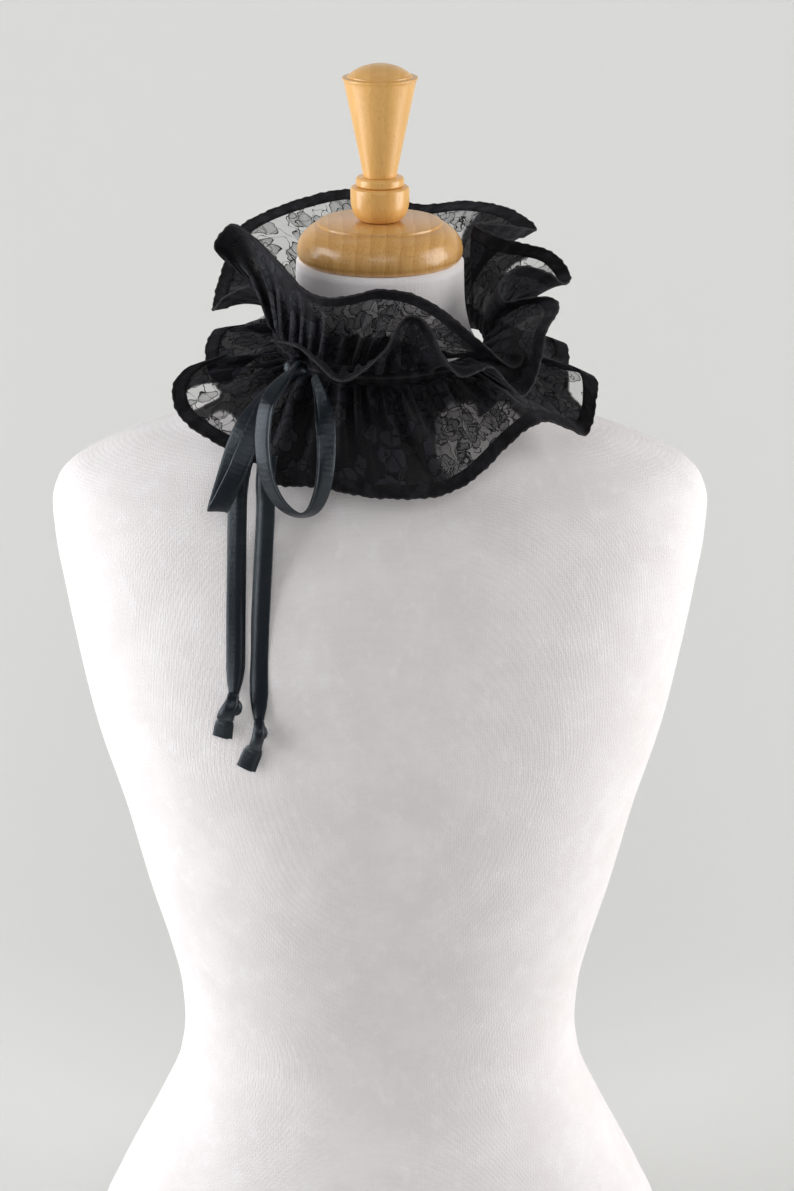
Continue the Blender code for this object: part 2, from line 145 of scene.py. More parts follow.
def add_mesh(name, verts, faces, mat, uvs=None, replaces=()):
    """Points in millimetres become a smooth mesh that rides on the one body."""
    mesh = bpy.data.meshes.new(name)
    mesh.from_pydata((np.asarray(verts, float) * MM).tolist(), [], faces)
    mesh.polygons.foreach_set("use_smooth", [True] * len(mesh.polygons))
    if uvs is not None:
        layer = mesh.uv_layers.new(name="flat_cloth")
        order = np.zeros(len(mesh.loops), int)
        mesh.loops.foreach_get("vertex_index", order)
        layer.data.foreach_set("uv", np.asarray(uvs, float)[order].ravel())
    mesh.materials.append(mat)
    obj = bpy.data.objects.new(name, mesh)
    bpy.context.scene.collection.objects.link(obj)
    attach(obj, "root")
    if replaces:
        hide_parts(*replaces)
    print(name, len(mesh.polygons), "faces")
    return obj


def grid_faces(columns, rows):
    """Quads over a grid whose points run row by row inside each column."""
    return [(i * rows + j, (i + 1) * rows + j, (i + 1) * rows + j + 1, i * rows + j + 1)
            for i in range(columns - 1) for j in range(rows - 1)]


def tube_faces(stations, count, start=0, flip=False):
    """Quads along a tube of stations, each a loop of count points, and a cap at each end."""
    faces = []
    for here in range(start, start + (stations - 1) * count, count):
        for k in range(count):
            n = (k + 1) % count
            faces.append((here + k, here + count + k, here + count + n, here + n))
    last = start + (stations - 1) * count
    faces += [tuple(range(start, start + count)), tuple(range(last + count - 1, last - 1, -1))]
    return [face[::-1] for face in faces] if flip else faces


def unit(vectors):
    return vectors / (np.linalg.norm(vectors, axis=-1, keepdims=True) + 1e-12)


def hermite(p1, p2, m1, m2, t):
    """The point at t between p1 and p2 on the curve that leaves along m1 and arrives along m2."""
    return ((2 * t**3 - 3 * t**2 + 1) * p1 + (t**3 - 2 * t**2 + t) * m1
            + (3 * t**2 - 2 * t**3) * p2 + (t**3 - t**2) * m2)


# %% Shader helpers
class Nodes:
    """Short words for the nodes of one tree."""

    def __init__(self, tree):
        self.tree = tree

    def add(self, kind, **settings):
        node = self.tree.nodes.new(kind)
        for key, value in settings.items():
            setattr(node, key, value)
        return node

    def fill(self, node, **values):
        """Sets or links a node's inputs by name, with _ for a space."""
        for key, value in values.items():
            self.put(node.inputs[key.replace("_", " ")], value)
        return node

    def put(self, socket, value):
        if isinstance(value, bpy.types.NodeSocket):
            self.tree.links.new(value, socket)
        else:
            socket.default_value = value

    def math(self, operation, a, b=None, c=None, clamp=False):
        node = self.add("ShaderNodeMath", operation=operation, use_clamp=clamp)
        for socket, value in zip(node.inputs, (a, b, c)):
            if value is not None:
                self.put(socket, value)
        return node.outputs[0]

    def plus(self, a, b):
        return self.math("ADD", a, b)

    def minus(self, a, b):
        return self.math("SUBTRACT", a, b)

    def times(self, a, b):
        return self.math("MULTIPLY", a, b)

    def most(self, a, b):
        return self.math("MAXIMUM", a, b)

    def vector(self, operation, a, b=None, scale=None):
        node = self.add("ShaderNodeVectorMath", operation=operation)
        self.put(node.inputs[0], a)
        if b is not None:
            self.put(node.inputs[1], b)
        if scale is not None:
            self.put(node.inputs["Scale"], scale)
        return node.outputs["Value"] if operation in ("LENGTH", "DOT_PRODUCT") else node.outputs[0]

    def ramp(self, value, low, high, to_low=0.0, to_high=1.0):
        """A smooth step from low to high."""
        node = self.add("ShaderNodeMapRange", interpolation_type="SMOOTHSTEP")
        self.fill(node, Value=value, From_Min=low, From_Max=high, To_Min=to_low, To_Max=to_high)
        return node.outputs["Result"]

    def mix(self, factor, a, b):
        node = self.add("ShaderNodeMix", data_type="RGBA")
        self.put(node.inputs["Factor"], factor)
        self.put(node.inputs[6], a)
        self.put(node.inputs[7], b)
        return node.outputs[2]

    def noise(self, vector, scale, detail=2.0, rough=0.5, out="Fac"):
        node = self.add("ShaderNodeTexNoise")
        return self.fill(node, Vector=vector, Scale=scale, Detail=detail, Roughness=rough).outputs[out]

    def bump(self, height, strength, distance):
        node = self.add("ShaderNodeBump")
        return self.fill(node, Height=height, Strength=strength, Distance=distance).outputs["Normal"]


def new_group(name, inputs, outputs):
    """A shader node group with named sockets: (kind, name, default) rows."""
    tree = bpy.data.node_groups.new(name, "ShaderNodeTree")
    for kind, label, default in inputs:
        socket = tree.interface.new_socket(label, in_out="INPUT", socket_type="NodeSocket" + kind)
        if default is not None:
            socket.default_value = default
    for kind, label in outputs:
        tree.interface.new_socket(label, in_out="OUTPUT", socket_type="NodeSocket" + kind)
    n = Nodes(tree)
    return n, n.add("NodeGroupInput").outputs, n.add("NodeGroupOutput").inputs


def new_material(name, **plain):
    """A Principled material; plain values are set on the shader's own sockets."""
    mat = bpy.data.materials.new(name)
    mat.use_nodes = True
    n = Nodes(mat.node_tree)
    return mat, n, n.fill(mat.node_tree.nodes["Principled BSDF"], **plain)


def use_group(n, tree, **values):
    return n.fill(n.add("ShaderNodeGroup", node_tree=tree), **values).outputs


print("helpers ready")

# %% [markdown]
# ## A woven-thread group used by every cloth
# Jersey, hem cloth and satin all show fine threads. One group makes a small thread relief from a
# position and a thread spacing, and each material sets its own spacing and stretch.

# %% Thread group
n, gin, gout = new_group("threads", [("Vector", "Place", None), ("Float", "Pitch", 0.001),
                                     ("Float", "Slub", 0.3)], [("Float", "Height"), ("Float", "Fleck")])
steps = n.math("DIVIDE", 1.0, gin["Pitch"])
spot = n.vector("SCALE", gin["Place"], scale=steps)
cells = n.fill(n.add("ShaderNodeTexVoronoi", feature="F1"), Vector=spot, Scale=1.0, Randomness=0.35)
loops = n.ramp(cells.outputs["Distance"], 0.15, 0.75, 1.0, 0.0)
slub = n.noise(spot, 0.11, 3.0, 0.6)
n.put(gout["Height"], n.plus(loops, n.times(slub, gin["Slub"])))
n.put(gout["Fleck"], slub)
THREADS = n.tree
print("group", THREADS.name)

# %% [markdown]
# ## The form: jersey stretched over a padded body
# The real form is a smooth shell under a tube of fine knitted cotton. We loft it from the same
# named sections as the solid, but with a curve through them, so its outline has no flats.

# %% Jersey material
jersey, n, shader = new_material("white_jersey", Roughness=0.92, Sheen_Weight=0.12, Sheen_Roughness=0.5,
                                 Specular_IOR_Level=0.12)
place = n.add("ShaderNodeTexCoord").outputs["Object"]
knit_place = n.vector("MULTIPLY", place, (1.0, 1.0, 0.72))
knit = use_group(n, THREADS, Place=knit_place, Pitch=0.00105, Slub=0.5)
cloud = n.noise(place, 26.0, 3.0, 0.6)
tone = n.mix(n.ramp(cloud, 0.35, 0.7), (0.785, 0.748, 0.748, 1), (0.835, 0.802, 0.804, 1))
fleck = n.ramp(knit["Fleck"], 0.52, 0.72)
tone = n.mix(n.times(fleck, 0.30), tone, (0.90, 0.895, 0.91, 1))
n.fill(shader, Base_Color=tone, Normal=n.bump(knit["Height"], 0.42, 0.00035))
print("material", jersey.name)

# %% Torso
TORSO = [  # height, half width, front depth, back depth, squareness
    (0, 181, 110, 114, 2.3), (7, 186, 115, 119, 2.3), (60, 188, 117, 123, 2.3), (86, 178, 113, 121, 2.28),
    (113, 165, 107, 114, 2.25), (147, 148, 99, 103, 2.2), (185, 132, 91, 89, 2.2), (215, 128, 88, 83, 2.2),
    (241, 129.5, 90, 82, 2.2), (273, 136, 97, 84, 2.2), (316, 148, 108, 88, 2.2), (373, 162, 117, 94, 2.2),
    (428, 178, 119, 99, 2.25), (476, 188, 114, 101, 2.3), (522, 196, 107, 100, 2.3), (548, 200, 102, 96, 2.3),
    (571, 201.5, 96, 89, 2.25), (584, 198, 92, 83, 2.2), (595, 188, 87, 78, 2.12), (604, 171, 83, 74, 2.06),
    (612, 152, 79, 71.5, 2.02), (621, 125, 74, 69, 2), (633, 101, 67, 65, 2), (645, 82, 61, 61, 2),
    (655, 70, 57.5, 58, 2), (667, 60, 55, 55.5, 2), (680, 54, 53, 53.5, 2), (697, 51, 51, 51, 2),
    (719.5, 50.3, 50.3, 50.3, 2)]


def through_rows(rows, per_gap):
    """A monotone cubic through table rows, on their first column."""
    rows = np.asarray(rows, float)
    x = rows[:, 0]
    slopes = np.diff(rows, axis=0) / np.diff(x)[:, None]
    before, after = slopes[:-1], slopes[1:]
    total = np.where(before + after == 0, 1, before + after)
    middle = np.where(before * after > 0, 2 * before * after / total, 0)
    grad = np.vstack([slopes[:1], middle, slopes[-1:]])
    out = []
    for i in range(len(rows) - 1):
        gap = x[i + 1] - x[i]
        out += [hermite(rows[i], rows[i + 1], gap * grad[i], gap * grad[i + 1], t)
                for t in np.linspace(0, 1, per_gap, endpoint=False)]
    return np.array(out + [rows[-1]])


def torso_mesh(around=160):
    sections = through_rows(TORSO, 5)
    a = np.linspace(0, 2 * math.pi, around, endpoint=False)
    c, s = np.cos(a), np.sin(a)
    rings = []
    for height, half, front, back, power in sections:
        depth = np.where(s > 0, back, front)
        rings.append(np.column_stack([half * np.sign(c) * abs(c) ** (2 / power),
                                      depth * np.sign(s) * abs(s) ** (2 / power), np.full(around, height)]))
    faces = tube_faces(len(sections), around, flip=True)
    add_mesh("form_body", np.vstack(rings), faces, jersey, replaces=("torso",))


torso_mesh()

# %% [markdown]
# ## The turned cap and handle
# Cap, bulb, ring and handle are turned from beech on a lathe and varnished. Turning means one
# profile spun round the axis, so a short table of radius and height is enough for each.

# %% Wood material
BLANK_JOIN = 0.7434      # height where the cap ends and the finial begins, metres
wood, n, shader = new_material("varnished_beech", Roughness=0.36, Coat_Weight=0.35, Coat_Roughness=0.16,
                               Specular_IOR_Level=0.5)
place = n.add("ShaderNodeTexCoord").outputs["Object"]
bent = n.vector("ADD", place, n.vector("SCALE", n.noise(place, 9.0, 2.0, 0.5, "Color"), scale=0.012))
growth = n.add("ShaderNodeTexWave", wave_type="BANDS", bands_direction="X", wave_profile="SAW")
n.fill(growth, Vector=bent, Scale=38.0, Distortion=2.2, Detail=3.0, Detail_Scale=1.6)
fibre = n.noise(n.vector("MULTIPLY", place, (1.0, 1.0, 0.06)), 900.0, 3.0, 0.65)
pores = n.noise(n.vector("MULTIPLY", place, (1.0, 1.0, 0.12)), 1500.0, 1.0, 0.5)
base = n.mix(growth.outputs["Fac"], (0.580, 0.300, 0.082, 1), (0.680, 0.390, 0.130, 1))
base = n.mix(n.times(n.ramp(fibre, 0.42, 0.68), 0.40), base, (0.460, 0.210, 0.052, 1))
base = n.mix(n.times(n.ramp(pores, 0.64, 0.72), 0.7), base, (0.270, 0.110, 0.035, 1))
height = n.add("ShaderNodeSeparateXYZ")
n.put(height.inputs[0], place)
finial = n.ramp(height.outputs[2], BLANK_JOIN - 0.0002, BLANK_JOIN + 0.0002)     # turned from a paler blank
base = n.mix(n.times(finial, 0.45), base, (0.960, 0.548, 0.158, 1))
n.fill(shader, Base_Color=base, Normal=n.bump(fibre, 0.08, 0.0002))
print("material", wood.name)

# %% Turned pieces
CAP = [(46.8, 719.9), (48.6, 721.4), (49.6, 724.2), (49.7, 727.4), (48.9, 731.0), (47.0, 734.6),
       (44.2, 737.6), (40.6, 740.2), (38.0, 741.3), (37.3, 741.6), (37.1, 742.9), (36.5, 743.3)]
BULB = [(11.2, 743.6), (13.4, 744.8), (15.8, 748.2), (17.2, 752.4), (17.6, 757.0), (17.6, 762.6),
        (17.0, 763.9), (15.4, 764.4)]
STEP_RING = [(13.6, 764.7), (14.3, 765.4), (14.4, 768.6), (13.6, 769.8)]
HANDLE = [(9.9, 770.1), (10.2, 772.0), (12.4, 783.0), (15.7, 799.0), (19.0, 815.0), (21.4, 826.4),
          (22.3, 828.2), (22.1, 829.1), (19.2, 829.3), (18.9, 830.2), (17.9, 830.8), (15.6, 832.6),
          (11.0, 835.0), (5.0, 836.6)]


TURNED_EASE = 0.32       # how strongly the curve bends at each profile point


def turned_mesh(name, profile, node, around=96):
    """Spins a profile round the upright axis, with a smooth curve through its points."""
    p = np.array([profile[0], *profile, profile[-1]])
    line = [p[1]]
    for before, here, there, after in zip(p, p[1:], p[2:], p[3:]):
        leave, arrive = TURNED_EASE * (there - before), TURNED_EASE * (after - here)
        line += [hermite(here, there, leave, arrive, t) for t in (0.25, 0.5, 0.75, 1.0)]
    a = np.linspace(0, 2 * math.pi, around, endpoint=False)
    verts = np.vstack([np.column_stack([r * np.cos(a), r * np.sin(a), np.full(around, z)]) for r, z in line])
    obj = add_mesh(name, verts, tube_faces(len(line), around, flip=True), wood, replaces=(node,))
    obj.data.set_sharp_from_angle(angle=math.radians(50))


turned_mesh("cap_turned", CAP, "neck_cap")
turned_mesh("bulb_turned", BULB, "finial_bulb")
turned_mesh("ring_turned", STEP_RING, "finial_ring")
turned_mesh("handle_turned", HANDLE, "finial_handle")

# %% [markdown]
# ## Lace
# The strip is a floral lace on fine net: corded outlines round half-filled petals and leaves, with
# open net between. Modelling each thread would take millions of faces, so the pattern is worked
# out from the flat cloth's own measure and drives how much of the surface is covered.
# Each flower sits in its own cell of a Voronoi pattern, turned by that cell's random colour.

# %% Rose group: a five-petalled flower in each cell
n, gin, gout = new_group("lace_rose", [("Vector", "Flat", None), ("Float", "Spacing", 24.0),
                                       ("Float", "Petals", 5.0), ("Float", "Radius", 9.0),
                                       ("Float", "Cord", 0.42)],
                         [("Float", "Fill"), ("Float", "Outline"), ("Float", "Inside")])
cells = n.add("ShaderNodeTexVoronoi", voronoi_dimensions="2D", feature="F1")
n.fill(cells, Vector=gin["Flat"], Scale=n.math("DIVIDE", 1.0, gin["Spacing"]), Randomness=0.62)
split = n.add("ShaderNodeSeparateXYZ")
n.put(split.inputs[0], n.vector("SUBTRACT", gin["Flat"], cells.outputs["Position"]))
chance = n.add("ShaderNodeSeparateColor")
n.put(chance.inputs[0], cells.outputs["Color"])
turn = n.times(chance.outputs[0], 6.2832)
x, y = split.outputs[0], split.outputs[1]
r = n.math("SQRT", n.plus(n.times(x, x), n.times(y, y)))
angle = n.plus(n.math("ARCTAN2", y, x), turn)
half_petals = n.times(gin["Petals"], 0.5)
lobe = n.math("ABSOLUTE", n.math("COSINE", n.times(angle, half_petals)))
size = n.times(gin["Radius"], n.plus(0.80, n.times(chance.outputs[1], 0.30)))
edge = n.times(size, n.plus(0.56, n.times(n.math("POWER", lobe, 0.55), 0.44)))
away = n.minus(r, edge)
rim = n.ramp(n.math("ABSOLUTE", away), n.times(gin["Cord"], 0.55), gin["Cord"], 1.0, 0.0)
inner = n.math("ABSOLUTE", n.minus(r, n.times(edge, 0.50)))
inner = n.ramp(inner, n.times(gin["Cord"], 0.4), n.times(gin["Cord"], 0.8), 1.0, 0.0)
spoke = n.ramp(n.times(lobe, r), n.times(gin["Cord"], 0.8), n.times(gin["Cord"], 1.6), 1.0, 0.0)
inside = n.ramp(away, -0.25, 0.25, 1.0, 0.0)
n.put(gout["Outline"], n.most(rim, n.times(inside, n.most(inner, spoke))))
n.put(gout["Inside"], inside)
n.put(gout["Fill"], n.times(inside, n.ramp(r, n.times(edge, 0.15), edge, 0.72, 1.0)))
ROSE = n.tree
print("group", ROSE.name)

# %% Leaf group: rounded leaves packed side by side, with some left out as open net
n, gin, gout = new_group("lace_leaves", [("Vector", "Flat", None), ("Float", "Spacing", 7.0),
                                         ("Float", "Share", 0.6), ("Float", "Cord", 0.36)],
                         [("Float", "Fill"), ("Float", "Outline")])
scale = n.math("DIVIDE", 1.0, gin["Spacing"])
cells = n.add("ShaderNodeTexVoronoi", voronoi_dimensions="2D", feature="F1")
borders = n.add("ShaderNodeTexVoronoi", voronoi_dimensions="2D", feature="DISTANCE_TO_EDGE")
for texture in (cells, borders):
    n.fill(texture, Vector=gin["Flat"], Scale=scale, Randomness=0.9)
chance = n.noise(cells.outputs["Position"], 0.055, 1.0, 0.5)
chosen = n.math("LESS_THAN", chance, n.plus(0.30, n.times(gin["Share"], 0.4)))
edge_mm = n.times(borders.outputs["Distance"], gin["Spacing"])
core_mm = n.times(cells.outputs["Distance"], gin["Spacing"])
reach = n.times(gin["Spacing"], 0.60)
depth = n.math("MINIMUM", edge_mm, n.minus(reach, core_mm))
leaf = n.times(chosen, n.ramp(depth, 0.05, 0.25))
line = n.times(leaf, n.ramp(depth, gin["Cord"], n.times(gin["Cord"], 2.0), 1.0, 0.0))
n.put(gout["Fill"], n.times(leaf, n.ramp(depth, 0.4, 2.4, 1.0, 0.78)))
n.put(gout["Outline"], line)
LEAVES = n.tree
print("group", LEAVES.name)

# %% Lace ply group: one thickness of the lace, from flat millimetres to how much it covers
n, gin, gout = new_group("lace_ply", [("Vector", "Flat", None)],
                         [("Float", "Cover"), ("Float", "Cord"), ("Float", "Fill")])
waver = n.vector("SUBTRACT", n.noise(gin["Flat"], 0.10, 2.0, 0.5, "Color"), (0.5, 0.5, 0.5))
drawn = n.vector("ADD", gin["Flat"], n.vector("SCALE", waver, scale=9.0))
rose = use_group(n, ROSE, Flat=drawn, Spacing=38.0, Petals=5.0, Radius=10.5, Cord=0.62)
leaves = use_group(n, LEAVES, Flat=n.vector("MULTIPLY", drawn, (1.0, 0.66, 1.0)),
                   Spacing=8.6, Share=0.56, Cord=0.50)
free = n.minus(1.0, rose["Inside"])
wander = n.noise(drawn, 0.075, 1.0, 0.4)
stem = n.ramp(n.math("ABSOLUTE", n.minus(wander, 0.5)), 0.005, 0.011, 1.0, 0.0)
drawn_lines = n.times(free, n.most(leaves["Outline"], stem))
cord = n.most(rose["Outline"], drawn_lines)
fill = n.most(rose["Fill"], n.times(free, leaves["Fill"]))
tulle = n.add("ShaderNodeTexVoronoi", voronoi_dimensions="2D", feature="DISTANCE_TO_EDGE")
n.fill(tulle, Vector=gin["Flat"], Scale=1.1, Randomness=0.25)
net = n.ramp(tulle.outputs["Distance"], 0.02, 0.14, 0.55, 0.13)
hatch = n.noise(n.vector("MULTIPLY", gin["Flat"], (1.0, 0.3, 1.0)), 2.2, 1.0, 0.5)
hatch = n.ramp(hatch, 0.35, 0.65, 0.54, 0.72)
cover = n.most(net, n.times(fill, hatch))
n.put(gout["Cover"], n.most(cover, n.times(cord, 0.98)))
n.put(gout["Cord"], cord)
n.put(gout["Fill"], fill)
LACE = n.tree
print("group", LACE.name)

# %% Lace material
# A gathered strip lies one, two or more thick. The point value "plies" says how many thicknesses
# stand behind one another: the second has its own flowers, and those after it only darken.
SHIFT_MM = (143.0, 61.0, 0.0)
PLY_CLEAR = 0.42          # how much light one more thickness lets through on average
lace, n, shader = new_material("black_floral_lace", Roughness=0.62, Specular_IOR_Level=0.14,
                               Sheen_Weight=0.06, Sheen_Roughness=0.45, Sheen_Tint=(0.74, 0.74, 0.90, 1))
flat = n.vector("SCALE", n.add("ShaderNodeUVMap", uv_map="flat_cloth").outputs[0], scale=1000.0)
ply = use_group(n, LACE, Flat=flat)
under = use_group(n, LACE, Flat=n.vector("ADD", n.vector("MULTIPLY", flat, (-1.0, 1.0, 1.0)), SHIFT_MM))
plies = n.add("ShaderNodeAttribute", attribute_name="plies").outputs["Fac"]
second = n.math("SUBTRACT", plies, 1.0, clamp=True)
more = n.most(n.minus(plies, 2.0), 0.0)
clear = n.times(n.minus(1.0, ply["Cover"]), n.minus(1.0, n.times(second, under["Cover"])))
clear = n.times(clear, n.math("POWER", PLY_CLEAR, more))
tone = n.mix(ply["Fill"], (0.004, 0.004, 0.0052, 1), (0.0185, 0.019, 0.024, 1))
tone = n.mix(ply["Cord"], tone, (0.0035, 0.0035, 0.0045, 1))
relief = n.plus(ply["Cord"], n.times(ply["Fill"], 0.5))
n.fill(shader, Base_Color=tone, Alpha=n.minus(1.0, clear), Normal=n.bump(relief, 0.9, 0.0007))
print("material", lace.name)

# %% Hem material
# Across the band, the flat measure runs from 0 at the very edge, which is painted a little lighter: a painted
# highlight standing in for the light the rolled edge catches.
hem_cloth, n, shader = new_material("lace_hem", Specular_IOR_Level=0.14, Sheen_Weight=0.06,
                                    Sheen_Roughness=0.35, Sheen_Tint=(0.78, 0.76, 0.90, 1))
flat = n.add("ShaderNodeUVMap", uv_map="flat_cloth").outputs[0]
weave = use_group(n, THREADS, Place=flat, Pitch=0.0009, Slub=0.8)
across = n.add("ShaderNodeSeparateXYZ")
n.put(across.inputs[0], flat)
# painted highlight: the last millimetre or so of the band is mixed towards a lighter grey
edge = n.ramp(across.outputs[1], 0.0004, 0.0013, 1.0, 0.0)
grey = n.mix(n.ramp(weave["Fleck"], 0.40, 0.68), (0.003, 0.003, 0.0042, 1), (0.013, 0.0125, 0.016, 1))
tone = n.mix(n.times(edge, 0.8), grey, (0.034, 0.030, 0.032, 1))
n.fill(shader, Base_Color=tone, Roughness=n.ramp(weave["Fleck"], 0.3, 0.7, 0.74, 0.50),
       Normal=n.bump(weave["Height"], 0.8, 0.0006))
print("material", hem_cloth.name)

# %% [markdown]
# ## The frills
# A gathered strip stands in waves that grow from the casing to the hem. The table says where each
# fold of the hem lies: which turn of the casing it springs from, then its own turn, distance and
# height. A smooth curve joins the rows, and a short bent line joins each hem point to the casing.
# Small gathers are added near the casing and fade towards the hem, as real gathers do.

# %% Fold tables
CASING_HEIGHT, CASING_DEPTH = 9.0, 4.6
CASING_Z, CASING_TILT = 675.0, 10.0
CASING_R_OUTER, CASING_R_INNER = 69.0, 62.5
TURN_START, TURN_END = -42.0, 377.0
WIND_START, WIND_END = 50.0, 110.0
TUCK_IN = 1.2             # how far the lace runs up inside the casing
HEM_WIDTH = 8.5
HEM_LAP = 1.0             # how far the lace runs in under the hem band
UPPER_FOLDS = [  # casing turn, hem turn, distance out, height
    (-40, -31, 120, 697), (-35, -23, 120, 695), (-28, -17, 122, 687), (-21, -12, 124, 679),
    (-14, -8, 123, 679), (-6, -3, 119, 686), (0, 2, 114, 695), (4, 5, 109, 705),
    (8, 8, 106, 711), (13, 12, 107, 711), (17, 15, 114, 704), (20, 17, 121, 692),
    (25, 21, 127, 680), (31, 26, 128, 682), (36, 30, 128, 683), (40, 34, 130, 673),
    (44, 38, 132, 664), (48, 42, 131, 668), (52, 46, 129, 681), (56, 50, 126, 697),
    (60, 57, 124, 706), (64, 61, 115, 710), (68, 59, 101, 709), (71, 57, 88, 706),
    (74, 61, 80, 712), (78, 68, 81, 718), (82, 73, 89, 722), (86, 78, 102, 717),
    (91, 83, 111, 708), (96, 90, 115, 710), (100, 97, 108, 719), (104, 103, 97, 723),
    (109, 106, 78, 728), (115, 108, 60, 737), (120, 112, 77, 735), (125, 115, 97, 730),
    (129, 119, 111, 726), (134, 125, 111, 731), (142, 135, 107, 736), (153, 149, 105, 736),
    (166, 164, 102, 732), (178, 179, 102, 736), (190, 192, 104, 741), (203, 208, 108, 736),
    (215, 221, 113, 729), (225, 231, 114, 722), (233, 239, 111, 708), (240, 248, 109, 692),
    (247, 256, 106, 682), (253, 261, 97, 692), (259, 266, 86, 700), (264, 272, 79, 705),
    (268, 279, 84, 714), (273, 284, 94, 724), (278, 287, 102, 733), (283, 288, 100, 741),
    (288, 292, 93, 749), (295, 302, 87, 744), (304, 316, 83, 731), (314, 327, 82, 719),
    (324, 337, 82, 715), (335, 348, 81, 717), (346, 360, 80, 721), (355, 374, 84, 718),
    (361, 384, 93, 709), (365, 389, 101, 700), (368, 394, 109, 690), (371, 398, 115, 681),
    (373, 401, 118, 677), (375, 404, 118, 678), (376, 406, 116, 682),
]
LOWER_FOLDS = [
    (-40, -38, 115, 609), (-34, -29, 112, 608), (-26, -20, 110, 609), (-17, -11, 109, 607),
    (-7, -2, 108, 604), (3, 8, 108, 603), (13, 18, 110, 604), (22, 26, 112, 609),
    (30, 32, 115, 618), (37, 38, 119, 630), (44, 45, 123, 640), (50, 52, 125, 641),
    (55, 58, 132, 634), (60, 63, 138, 629), (66, 67, 139, 646), (71, 72, 135, 657),
    (77, 75, 119, 659), (83, 78, 106, 658), (90, 84, 114, 657), (97, 92, 113, 666),
    (105, 101, 102, 664), (118, 116, 104, 660), (132, 134, 113, 653), (148, 150, 103, 655),
    (164, 165, 114, 650), (180, 180, 103, 654), (196, 195, 114, 650), (213, 212, 103, 655),
    (230, 229, 113, 656), (246, 245, 103, 664), (258, 257, 94, 672), (265, 266, 102, 673),
    (271, 273, 106, 664), (276, 280, 104, 653), (280, 285, 97, 649), (284, 289, 93, 656),
    (288, 291, 104, 665), (293, 293, 122, 666), (299, 295, 134, 659), (304, 298, 138, 650),
    (310, 302, 136, 640), (316, 308, 128, 631), (322, 314, 118, 623), (328, 319, 108, 616),
    (336, 327, 99, 611), (347, 338, 96, 609), (358, 349, 96, 608), (367, 358, 96, 607),
    (376, 366, 97, 606),
]
print("folds:", len(UPPER_FOLDS), "upper,", len(LOWER_FOLDS), "lower")

# %% Frill surface
def run_along(points):
    """How far along a line each of its points lies."""
    return np.concatenate([[0], np.cumsum(np.linalg.norm(np.diff(points, axis=0), axis=1))])


def smooth_curve(points, count):
    """Evenly spaced stations on a smooth curve through rows of points."""
    p = np.asarray(points, float)
    p = np.vstack([2 * p[0] - p[1], p, 2 * p[-1] - p[-2]])
    out = []
    for i in range(1, len(p) - 2):
        p0, p1, p2, p3 = p[i - 1:i + 3]
        m1, m2 = (p2 - p0) * 0.5, (p3 - p1) * 0.5
        out += [hermite(p1, p2, m1, m2, t) for t in np.linspace(0, 1, 12, endpoint=False)]
    out = np.array(out + [p[-2]])
    run = run_along(out[:, :3])
    want = np.linspace(0, run[-1], count)
    return np.column_stack([np.interp(want, run, out[:, k]) for k in range(out.shape[1])]), run[-1]


def casing_point(turn, lift=0.0):
    ease = np.clip((turn - WIND_START) / (WIND_END - WIND_START), 0, 1)
    ease = ease * ease * (3 - 2 * ease)
    radius = CASING_R_OUTER + (CASING_R_INNER - CASING_R_OUTER) * ease
    a = math.radians(turn)
    return np.array([radius * math.sin(a), -radius * math.cos(a),
                     CASING_Z - CASING_TILT * math.cos(a) + lift])


UNDER_START, UNDER_SPAN = 318.0, 14.0    # where the strip's end goes under its start: turn, degrees it takes
OVER_END, OVER_SPAN = 70.0, 15.0         # where its start no longer lies on top: turn, degrees it takes
LEAST_SKEW = 0.38                        # a band is never taken as crossing its hem flatter than this


def frill_grid(folds, side, columns, arcs):
    """Points of one frill: columns along the strip, arcs from casing (0) to hem edge (1).

    An arc is its share of the way out and how far its end stays back from the hem's edge. Skews
    measure how squarely each column meets the hem, so that a band has one width all round."""
    rows = []
    for turn, around, out, up in folds:
        a = math.radians(around)
        rows.append((out * math.sin(a), -out * math.cos(a), up, turn))
    hem, hem_length = smooth_curve(rows, columns)
    heading = unit(np.gradient(hem[:, :3], axis=0))
    paths, skews = [], []
    for i, (hx, hy, hz, turn) in enumerate(hem):
        start = casing_point(turn, side * (CASING_HEIGHT / 2 - TUCK_IN))
        end = np.array([hx, hy, hz])
        along = end - start
        reach = np.linalg.norm(along)
        along /= reach
        a = math.radians(turn)
        outward, up = np.array([math.sin(a), -math.cos(a), 0.0]), np.array([0, 0, 1.0])
        under = float(np.clip((turn - UNDER_START) / UNDER_SPAN, 0, 1))
        over = float(np.clip((OVER_END - turn) / OVER_SPAN, 0, 1))
        if side > 0:
            lead, trail = along + (0.55 - 0.40 * over) * up, along + 0.25 * outward - 0.25 * up
        else:
            lead, trail = along + (0.75 - 0.80 * under) * outward, along - 0.35 * up
        lead, trail = unit(lead), unit(trail)
        c1, c2 = start + lead * reach * 0.36, end - trail * reach * 0.33
        t = np.linspace(0, 1, 41)[:, None]
        skews.append(np.linalg.norm(np.cross(trail, heading[i])))
        paths.append((1 - t)**3 * start + 3 * (1 - t)**2 * t * c1 + 3 * (1 - t) * t**2 * c2 + t**3 * end)
    width = max(3, columns // 30) | 1
    skews = np.pad(np.clip(skews, LEAST_SKEW, 1), width // 2, mode="edge")
    skews = np.convolve(skews, np.ones(width) / width, mode="valid")
    grid, depths = np.zeros((columns, len(arcs), 3)), np.zeros((columns, len(arcs)))
    for i, path in enumerate(paths):
        run = run_along(path)
        for j, (share, band) in enumerate(arcs):
            want = share * (run[-1] - band / skews[i])
            grid[i, j] = [np.interp(want, run, path[:, k]) for k in range(3)]
            depths[i, j] = want
    return grid, depths, hem, hem_length


def surface_normals(grid):
    return unit(np.cross(np.gradient(grid, axis=0), np.gradient(grid, axis=1)))


